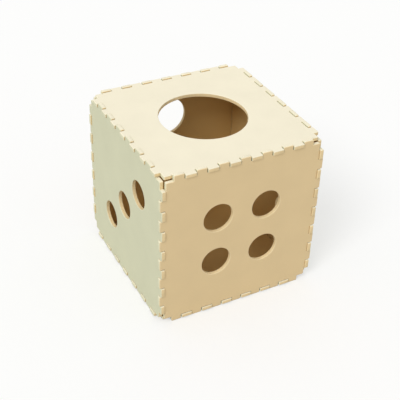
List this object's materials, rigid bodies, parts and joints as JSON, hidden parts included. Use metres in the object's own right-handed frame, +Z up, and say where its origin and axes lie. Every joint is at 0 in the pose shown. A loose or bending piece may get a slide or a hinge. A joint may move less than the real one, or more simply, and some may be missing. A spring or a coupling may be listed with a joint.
{
  "type": "cat condo",
  "caption": "Cube cat house of interlocking foam panels with finger joints, a large round top hole and round die-spot windows; each panel pulls straight off.",
  "frame": {"origin": "middle of the footprint, on the plane that the lower finger ends stand on", "axes": "+Z up, -Y towards the four-window front panel, -X towards the three-window left panel"},
  "size_m": [0.406, 0.406, 0.406],
  "materials": {
    "cream_foam": "matte closed-cell foam, cream",
    "tan_foam": "matte closed-cell foam, tan",
    "sage_foam": "matte closed-cell foam, pale sage"
  },
  "bodies": {
    "bottom_panel": {"bottom_panel": "cream_foam"},
    "top_panel": {"top_panel": "cream_foam"},
    "front_panel": {"front_panel": "tan_foam"},
    "back_panel": {"back_panel": "tan_foam"},
    "left_panel": {"left_panel": "sage_foam"},
    "right_panel": {"right_panel": "sage_foam"}
  },
  "joints": [
    {"name": "top_lift", "type": "slide", "parent": "bottom_panel", "child": "top_panel", "axis": [0, 0, 1], "range_m": [0, 0.12]},
    {"name": "front_pull", "type": "slide", "parent": "bottom_panel", "child": "front_panel", "axis": [0, -1, 0], "range_m": [0, 0.08]},
    {"name": "back_pull", "type": "slide", "parent": "bottom_panel", "child": "back_panel", "axis": [0, 1, 0], "range_m": [0, 0.08]},
    {"name": "left_pull", "type": "slide", "parent": "bottom_panel", "child": "left_panel", "axis": [-1, 0, 0], "range_m": [0, 0.08]},
    {"name": "right_pull", "type": "slide", "parent": "bottom_panel", "child": "right_panel", "axis": [1, 0, 0], "range_m": [0, 0.08]}
  ]
}
